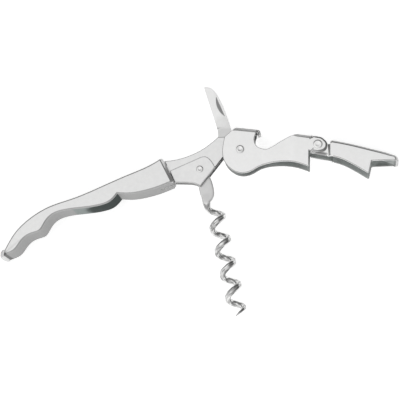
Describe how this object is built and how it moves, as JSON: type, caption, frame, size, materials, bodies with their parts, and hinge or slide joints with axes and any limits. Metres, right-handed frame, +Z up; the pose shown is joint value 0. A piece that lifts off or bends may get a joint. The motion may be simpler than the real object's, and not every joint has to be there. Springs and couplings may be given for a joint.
{
  "type": "waiter's corkscrew",
  "caption": "Folding waiter's corkscrew: sheet steel handle, hinged worm, foil knife, cap lifter and a jointed double lever that props on the bottle's lip.",
  "frame": {"origin": "centre of the bounding box in X and Y, on the surface that the tool lies on in Z", "axes": "+Z up through the tool's thickness and along every hinge axis, +X towards the outer lever's tip, the worm points towards -Y and the knife towards +Y"},
  "size_m": [0.1656, 0.0976, 0.013],
  "materials": {
    "cover_steel": "satin, finely blasted",
    "frame_steel": "satin, rolled edges",
    "lever_steel": "satin, pressed",
    "blade_steel": "ground, fine grain along the blade",
    "inner_steel": "plain spring steel",
    "rivet_steel": "polished rivet heads",
    "worm_chrome": "polished round wire"
  },
  "bodies": {
    "handle": {"handle_cover": "cover_steel", "end_cap": "cover_steel", "frame_front_cheek": "frame_steel", "frame_rear_cheek": "frame_steel", "worm_spring": "inner_steel", "tang_core": "inner_steel", "cover_pins": "inner_steel", "hub_rivet": "rivet_steel", "worm_rivet": "rivet_steel", "hub_washers": "inner_steel", "knife_washers": "inner_steel"},
    "worm_arm": {"worm": "worm_chrome"},
    "knife": {"knife_blade": "blade_steel"},
    "inner_arm": {"inner_lever": "lever_steel", "knuckle_rivet": "rivet_steel", "knuckle_bush": "inner_steel"},
    "outer_arm": {"outer_lever": "lever_steel"}
  },
  "joints": [
    {"name": "lever_pivot", "type": "hinge", "parent": "handle", "child": "inner_arm", "pos_m": [0.01788, 0.02054, 0.0065], "axis": [0, 0, 1], "range_deg": [-138, 0]},
    {"name": "worm_pivot", "type": "hinge", "parent": "handle", "child": "worm_arm", "pos_m": [0.00093, 0.01286, 0.0065], "axis": [0, 0, 1], "range_deg": [-69.5, 0]},
    {"name": "lever_knuckle", "type": "hinge", "parent": "inner_arm", "child": "outer_arm", "pos_m": [0.05012, 0.02126, 0.0065], "axis": [0, 0, 1], "range_deg": [0, 30]},
    {"name": "knife_pivot", "type": "hinge", "parent": "handle", "child": "knife", "pos_m": [0.01788, 0.02054, 0.0065], "axis": [0, 0, 1], "range_deg": [0, 68]}
  ],
  "couplings": [
    {"joint": "worm_pivot", "follows": "lever_pivot", "ratio": 0.50362}
  ]
}
